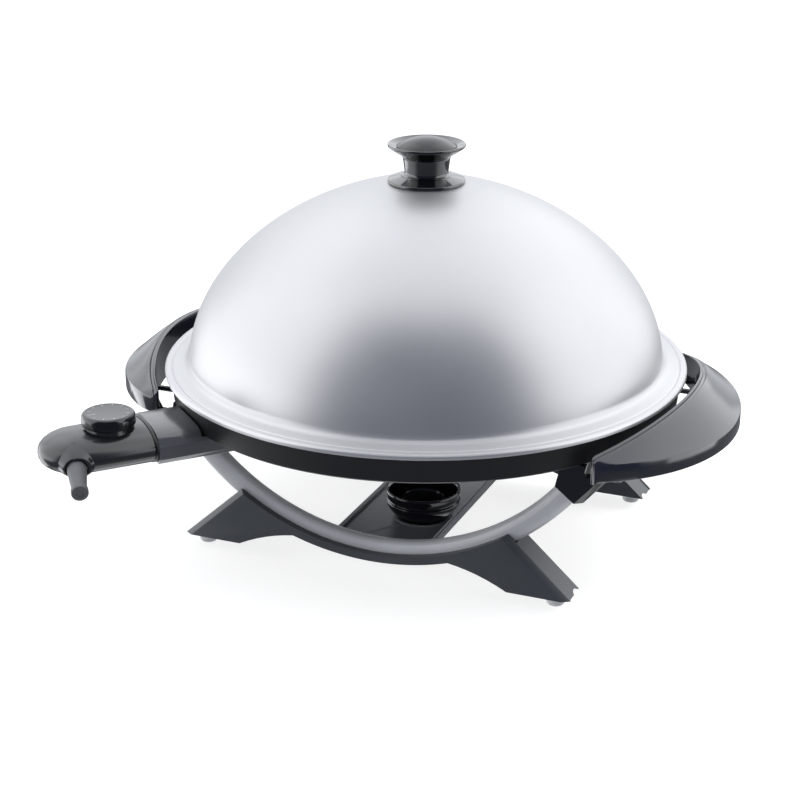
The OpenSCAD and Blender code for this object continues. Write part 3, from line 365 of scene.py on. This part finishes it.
# painted highlight: the guard is drawn lighter than its own dark plastic, standing for the soft sheen on its
# top
finish("guardSatin", gloss((0.075, 0.077, 0.085), 0.30, 1500, 0.05, 0.35))
finish("dial_plastic", gloss((0.005, 0.005, 0.006), 0.12, 900, 0.02, 0.2))
finish("dialMark", satin((0.45, 0.46, 0.47), 0.4))
finish("relief_rubber", satin((0.070, 0.074, 0.080), 0.50))
finish("leg_plastic", satin((0.047, 0.052, 0.058), 0.36, 1500, 0.10))
finish("tray_plastic", satin((0.11, 0.115, 0.125), 0.36))
finish("foot_rubber", satin((0.48, 0.49, 0.49), 0.60))
finish("satin_tube", satin((0.46, 0.47, 0.485), 0.38, 2200, 0.1, 0.12))
finish("coated_plate", satin((0.004, 0.004, 0.005), 0.42, 1200, 0.15))
finish("element_steel", satin((0.16, 0.15, 0.14), 0.45, 1400, 0.2, 1.0, 0.3))
finish("screw_steel", satin((0.45, 0.45, 0.46), 0.28, 1500, 0.08, 1.0))
finish("insulator", satin((0.12, 0.06, 0.03), 0.5))
finish("contact_brass", satin((0.60, 0.43, 0.18), 0.3, 1500, 0.08, 1.0))

slotOf = {part["node"]: part["material_slot"] for part in frame["record"]["subparts"]}
bodyOf = {node: body for body, group in frame["record"]["behaviour"]["bodies"].items() for node in group}
for node, slot in slotOf.items():
    nodes[node].data.materials.clear()
    nodes[node].data.materials.append(finishes[slot])
print("finishes made:", len(finishes))


# pieces that stand in for plain nodes; their sizes are in millimetres

def settle(name, shape, node, crease=30, look=None, stands=True):  # mesh, finish and body of a finished piece
    mesh = bpy.data.meshes.new(name)
    shape.to_mesh(mesh)
    shape.free()
    mesh.shade_smooth()
    mesh.set_sharp_from_angle(angle=math.radians(crease))
    mesh.materials.append(finishes[look or slotOf[node]])
    piece = bpy.data.objects.new(name, mesh)
    scene.collection.objects.link(piece)
    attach(piece, bodyOf[node])
    if stands:
        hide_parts(node)
    return piece


def turned(outline, place, steps, closed=True):  # outline: radius, height and rounding of each corner
    shape = bmesh.new()
    corners = [shape.verts.new((corner[0] * mm, 0, corner[1] * mm)) for corner in outline]
    for start, end in zip(corners, corners[1:] + corners[:1] if closed else corners[1:]):
        shape.edges.new((start, end))
    for point, corner in zip(corners, outline):
        if len(corner) > 2:
            bmesh.ops.bevel(shape, geom=[point], offset=corner[2] * mm, segments=4, profile=0.5,
                            affect="VERTICES", material=-1)
    bmesh.ops.spin(shape, geom=shape.verts[:] + shape.edges[:], cent=(0, 0, 0), axis=(0, 0, 1),
                   angle=2 * math.pi, steps=steps, use_merge=True)
    bmesh.ops.remove_doubles(shape, verts=shape.verts[:], dist=1e-6)
    bmesh.ops.recalc_face_normals(shape, faces=shape.faces[:])
    if shape.calc_volume(signed=True) < 0:
        bmesh.ops.reverse_faces(shape, faces=shape.faces[:])
    bmesh.ops.transform(shape, matrix=place, verts=shape.verts[:])
    return shape


def softened(node, width, segments=2, sharp=35):  # copy of a node with its hard edges rounded
    shape = bmesh.new()
    shape.from_mesh(nodes[node].data)
    bmesh.ops.remove_doubles(shape, verts=shape.verts[:], dist=1e-5)
    bmesh.ops.dissolve_limit(shape, angle_limit=math.radians(0.5), verts=shape.verts[:], edges=shape.edges[:])
    hard = [e for e in shape.edges if len(e.link_faces) == 2 and e.calc_face_angle() > math.radians(sharp)]
    bmesh.ops.bevel(shape, geom=hard, offset=width * mm, segments=segments, profile=0.5, affect="EDGES",
                    material=-1, clamp_overlap=True)
    return shape


lid = {
    "rim": 210, "flange": 19, "height": 151.2, "foot": 141.6, "fullness": 1.77,
    "sheet": 1.5, "seat": 144.3, "lip": 2.7, "screwHole": 2.8,
    "domeStart": 6.5,  # height over the seat at which the dome leaves the flange
}
domeBase = lid["rim"] - lid["flange"]  # radius at which the dome meets the flange


def domeHeight(radius, base, height):
    return lid["foot"] + height * math.sqrt(1 - (radius / base) ** lid["fullness"])


def domeLine(base, height, count):  # from the screw hole out and down to the flange
    footSine = (lid["seat"] + lid["domeStart"] - lid["foot"]) / lid["height"]
    line = []
    for i in range(count + 1):
        sine = math.sin(math.radians(90) + (math.asin(footSine) - math.radians(90)) * i / count)
        line.append((base * max(0, 1 - sine * sine) ** (1 / lid["fullness"]), lid["foot"] + height * sine))
    line[0] = (lid["screwHole"], domeHeight(lid["screwHole"], base, height))
    return line


def flangeLine():  # out over the bead to the rim, and back under it
    base, rim, seat = domeBase, lid["rim"], lid["seat"]
    top, lip = seat + lid["sheet"], seat - lid["lip"]
    return [
        (base + 1.2, top + 3), (base + 3.6, top + 1.5, 0.8), (base + 7.6, top + 0.5), (rim - 7, top, 0.3),
        (rim - 6, top - 0.7, 0.3), (rim - 5, top, 0.3), (rim - 1.4, top - 0.4, 0.4), (rim, top - 1.7, 0.5),
        (rim, lip, 0.2), (rim - 1.5, lip), (rim - 1.5, seat - 0.9), (rim - 2.4, seat),
        (base + 9, seat), (base + 4, seat + 0.9), (base + 1, seat + 2.4),
    ]


def makeLid():
    outer = domeLine(domeBase, lid["height"], 90)
    inner = domeLine(domeBase - lid["sheet"], lid["height"] - lid["sheet"], 60)
    shell = settle("lidShell", turned(outer + flangeLine() + inner[::-1], plateAxis, 192), "lid_dome", 40)
    shell.data.materials.append(finishes["lidRim"])
    # the flange gets the rim finish, whose lighter base colour is painted sheen
    for face in shell.data.polygons:
        if (face.center - plateMiddle).to_2d().length > (domeBase + lid["sheet"]) * mm:
            face.material_index = 1


makeLid()

knob = {
    "base": 30.6, "top": 30.6, "neck": 17.2, "height": 30.8, "gap": 0.3,
    "capInset": 7.3, "capSet": 2.2, "capEdge": 1.1, "capRise": 7.2, "capPlay": 0.3,
}
knobFoot = domeHeight(knob["base"], domeBase, lid["height"]) + knob["gap"]
capFloor = knob["height"] - knob["capSet"] - knob["capEdge"]
capRadius = knob["top"] - knob["capInset"]
onLid = plateAxis @ Matrix.Translation((0, 0, knobFoot * mm))


def underKnob(radius):  # the knob's underside follows the dome
    return domeHeight(radius, domeBase, lid["height"]) + knob["gap"] - knobFoot


def makeKnob():
    base, top, neck, high = knob["base"], knob["top"], knob["neck"], knob["height"]
    pocket = capRadius + knob["capPlay"]
    under = [(radius, underKnob(radius)) for radius in (8, 12, 16, 20, 24, 27)]
    side = [
        (base, 0, 0.3), (base, 2.2, 0.4), (base - 0.6, 2.7, 0.2),
        (neck + 3.6, 5.2, 0.4), (neck + 2.6, 6.2, 0.3), (neck + 0.4, 6.8, 0.4), (neck, 8.2, 0.5),
        (neck + 1.5, high - 10.8, 1.2), (neck + 2.9, high - 9, 1.0),
        (top - 0.8, high - 2.7, 0.5), (top, high - 1.8, 0.4), (top, high - 0.6, 0.4), (top - 0.5, high, 0.3),
        (top - 1.3, high - 0.1, 0.4),
    ]
    inside = [
        (pocket, high - knob["capSet"], 0.2), (pocket, capFloor - 0.3), (9, capFloor - 0.3), (9, 20),
        (5.4, 20), (5.4, underKnob(8) + 1),
    ]
    settle("knobBody", turned(under + side + inside, onLid, 160), "lid_knob", look="knobGloss")


def makeKnobCap():
    ball = (capRadius ** 2 + knob["capRise"] ** 2) / (2 * knob["capRise"])  # radius of the crowned top
    crown = []
    for i in range(1, 25):
        radius = capRadius * (24 - i) / 24
        height = knob["capEdge"] + knob["capRise"] - ball + math.sqrt(ball * ball - radius * radius)
        crown.append((radius, height))
    edge = [(0, -6), (8.7, -6, 0.4), (8.7, 0), (capRadius, 0, 0.2), (capRadius, knob["capEdge"], 0.5)]
    inPocket = onLid @ Matrix.Translation((0, 0, capFloor * mm))
    settle("knobCap", turned(edge + crown, inPocket, 160, closed=False), "knob_cap")


makeKnob()
makeKnobCap()

cup = {"place": (13.5, -37.5), "rim": 30.5, "foot": 21, "height": 25, "wall": 2, "bottom": 21.7}


def makeCup():
    rim, foot, high, wall = cup["rim"], cup["foot"], cup["height"], cup["wall"]
    outside = [
        (0, 0), (foot - 1.5, 0, 0.4), (foot, 1, 0.4), (rim - 2.5, high * 0.36, 3),
        (rim - 0.6, high * 0.52, 1.2), (rim - 0.4, high * 0.62, 0.5), (rim - 1.6, high * 0.68, 0.4),
        (rim - 1.4, high * 0.8, 0.6), (rim, high - 1.4, 0.5), (rim - 0.5, high, 0.2),
    ]
    inside = [
        (rim - 1.5, high, 0.2), (rim - wall - 1.2, high - 2, 0.6), (rim - wall - 2, high * 0.6, 2),
        (rim - wall - 4, high * 0.36, 3), (foot - wall, 3.2, 0.8), (foot - wall - 2, wall, 0.5), (0, wall),
    ]
    inRing = plateAxis @ Matrix.Translation((cup["place"][0] * mm, cup["place"][1] * mm, cup["bottom"] * mm))
    settle("dripCup", turned(outside + inside, inRing, 144, closed=False), "drip_cup")


makeCup()

controlAngle = 228  # degrees from the right-hand side
onControl = plateAxis @ Matrix.Rotation(math.radians(controlAngle), 4, "Z")  # X runs out along the control
dial = {
    "reach": 267, "height": 132.3, "radius": 20.5, "thick": 9.4,
    "dish": 0.25, "bore": 3.2, "boreTop": 3.6,
}
onDial = onControl @ Matrix.Translation((dial["reach"] * mm, 0, dial["height"] * mm))


def makeDial():
    radius, thick, bore = dial["radius"], dial["thick"], dial["bore"]
    top, boreEnd = thick - dial["dish"], thick - dial["boreTop"]
    line = [
        (bore, 0), (radius - 0.8, 0, 0.3), (radius, 0.8, 0.3), (radius - 0.3, thick - 2, 0.5),
        (radius - 1.1, thick - 0.7, 0.5), (radius - 2.4, thick, 0.5), (radius - 3.4, thick, 0.2),
        (radius - 3.9, top, 0.2), (0, top), (0, boreEnd), (bore, boreEnd),
    ]
    settle("heatDial", turned(line, onDial, 144), "control_dial")


makeDial()

relief = {
    "reach": 300.9, "side": 25.4, "height": 112.8, "turn": 77, "dip": 9,
    "radius": 7.4, "neck": 4.6, "length": 38, "tail": 13,
}
sleeveFoot = (relief["reach"] * mm, relief["side"] * mm, relief["height"] * mm)
outOfControl = (onControl @ Matrix.Translation(sleeveFoot)
                @ Matrix.Rotation(math.radians(relief["turn"]), 4, "Z")
                @ Matrix.Rotation(math.radians(90 + relief["dip"]), 4, "Y"))  # Z runs out along the sleeve


def makeRelief():
    radius, neck, long, tail = relief["radius"], relief["neck"], relief["length"], -relief["tail"]
    line = [
        (0, tail), (neck + 1.6, tail), (neck + 1.6, tail + 2), (neck, tail + 2), (neck, 2.7),
        (radius, 2.7, 0.3), (radius, 5, 0.8), (radius - 1.9, long - 6, 0.5), (radius - 1, long - 5.4, 0.3),
        (radius - 1, long - 0.8, 0.3), (radius - 1.6, long, 0.3), (3.2, long, 0.2), (3.0, long - 0.6),
        (0, long - 0.6),
    ]
    settle("reliefSleeve", turned(line, outOfControl, 96, closed=False), "strain_relief")


makeRelief()
print("turned pieces made")

marks = {"count": 12, "from": 14.2, "to": 16.1, "width": 0.7, "high": 0.12, "pointer": 9.5}


def makeMarks():  # plain ticks round the dial's top, the first one long as a pointer
    ticks = bmesh.new()
    for i in range(marks["count"]):
        start = marks["from"] if i else marks["pointer"]
        level = dial["thick"] - dial["dish"] + marks["high"] / 2
        middle = Matrix.Translation(((start + marks["to"]) / 2 * mm, 0, level * mm))
        size = Matrix.Diagonal(((marks["to"] - start) * mm, marks["width"] * mm, marks["high"] * mm, 1))
        turn = Matrix.Rotation(2 * math.pi * i / marks["count"], 4, "Z")
        bmesh.ops.create_cube(ticks, size=1, matrix=turn @ middle @ size)
    bmesh.ops.transform(ticks, verts=ticks.verts[:], matrix=onDial)
    settle("dialMarks", ticks, "control_dial", look="dialMark", stands=False)


makeMarks()

edges = {  # width of the rounded edges, and the angle in degrees from which an edge stays crisp
    "left_handle": (0.35, 35), "right_handle": (0.35, 35),
    "front_left_bracket": (0.4, 12), "front_right_bracket": (0.4, 12),
    "rear_left_bracket": (0.4, 12), "rear_right_bracket": (0.4, 12),
    "front_leg_frame": (0.5, 20), "rear_leg_frame": (0.5, 20),
    "front_leg_cover": (0.5, 20), "rear_leg_cover": (0.5, 20),
    "probe_guard": (0.4, 30), "control_upper_shell": (0.6, 30), "control_lower_shell": (0.6, 30),
    "control_collar": (0.5, 30), "cup_tray": (0.4, 20),
}
# the guard takes the lighter finish that carries its painted highlight
ownLook = {"probe_guard": "guardSatin"}
for node, (width, crease) in edges.items():
    words = node.split("_")
    name = words[0] + "".join(word.capitalize() for word in words[1:])
    settle(name, softened(node, width), node, crease, ownLook.get(node))
print("edges rounded")

flare = {
    "mouth": 8.1, "lip": 9.3, "lipWidth": 0.5, "foot": 14.0, "rise": 4.4, "depth": 6, "sink": 0.15,
    "rings": 10, "steps": 96,
    "rayStart": 30, "rayLength": 60, "noSkin": -12,  # the search for the control's skin along the sleeve
}


def shellTree(node):
    data = nodes[node].data
    return BVHTree.FromPolygons([v.co for v in data.vertices], [p.vertices for p in data.polygons])


shells = [shellTree(node) for node in ("control_upper_shell", "control_lower_shell")]
outward = outOfControl.to_3x3() @ Vector((0, 0, 1))


def skinHeight(x, y):  # height of the control's skin along the sleeve's axis
    start = outOfControl @ Vector((x * mm, y * mm, flare["rayStart"] * mm))
    hits = [tree.ray_cast(start, -outward, flare["rayLength"] * mm) for tree in shells]
    reach = [hit[3] for hit in hits if hit[0]]
    return flare["rayStart"] - min(reach) / mm if reach else flare["noSkin"]


def flarePoint(i, along):  # radius and height: rings 0 and 1 line the mouth, the others run down to the skin
    if i == 0:
        return flare["mouth"], -flare["depth"]
    if i == 1:
        return flare["mouth"], flare["rise"] - flare["lipWidth"]
    k = (i - 2) / flare["rings"]
    lip = flare["lip"] - flare["lipWidth"]
    radius = lip + (flare["foot"] - lip) * k
    up = skinHeight(*(along * radius)) + flare["rise"] * (1 - k) ** 2 * (1 + 2 * k) - flare["sink"] * k
    return radius, min(up, flare["rise"] + 0.4)


def makeFlare():
    skirt = bmesh.new()
    rings = []
    for i in range(flare["rings"] + 3):
        ring = []
        for j in range(flare["steps"]):
            angle = 2 * math.pi * j / flare["steps"]
            along = Vector((math.cos(angle), math.sin(angle)))
            radius, up = flarePoint(i, along)
            ring.append(skirt.verts.new((along.x * radius * mm, along.y * radius * mm, up * mm)))
        rings.append(ring)
    for low, high in zip(rings, rings[1:]):
        for j in range(flare["steps"]):
            skirt.faces.new((low[j], low[j - 1], high[j - 1], high[j]))
    bmesh.ops.transform(skirt, matrix=outOfControl, verts=skirt.verts[:])
    settle("sleeveFlare", skirt, "control_upper_shell", 50, stands=False)


makeFlare()
print("sleeve flare made")
